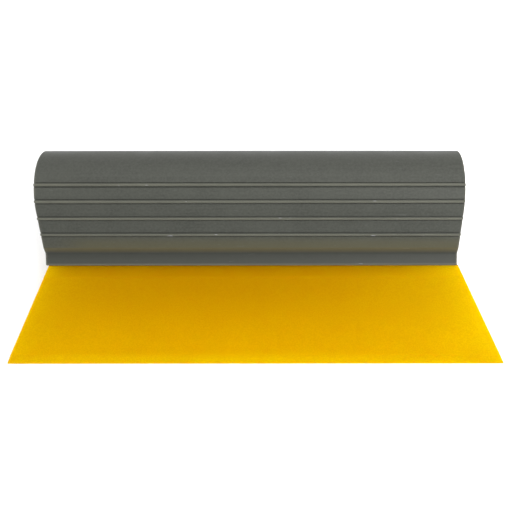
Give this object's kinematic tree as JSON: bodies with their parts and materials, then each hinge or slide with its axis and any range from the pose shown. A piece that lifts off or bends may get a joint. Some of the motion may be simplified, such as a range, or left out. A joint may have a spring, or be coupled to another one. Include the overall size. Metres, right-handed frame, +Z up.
{
  "type": "squeegee applicator",
  "caption": "Hand squeegee: a ribbed hollow tube handle whose jaws hold a flared amber urethane blade with a bevelled working edge.",
  "frame": {"origin": "middle of the footprint, on the bench that the tool lies on", "axes": "+X along the tool, -Y towards the working edge, +Z up; it lies on one rib of the tube and on the working edge"},
  "size_m": [0.14, 0.0583, 0.0234],
  "materials": {
    "handle_plastic": "satin extruded rigid vinyl, warm grey",
    "blade_urethane": "smooth translucent amber urethane"
  },
  "bodies": {
    "handle": {"tube_handle": "handle_plastic"},
    "blade_body": {"blade": "blade_urethane"}
  },
  "joints": [
    {"name": "blade_slide", "type": "slide", "parent": "handle", "child": "blade_body", "axis": [1, 0, 0], "range_m": [-0.113, 0.113]}
  ]
}
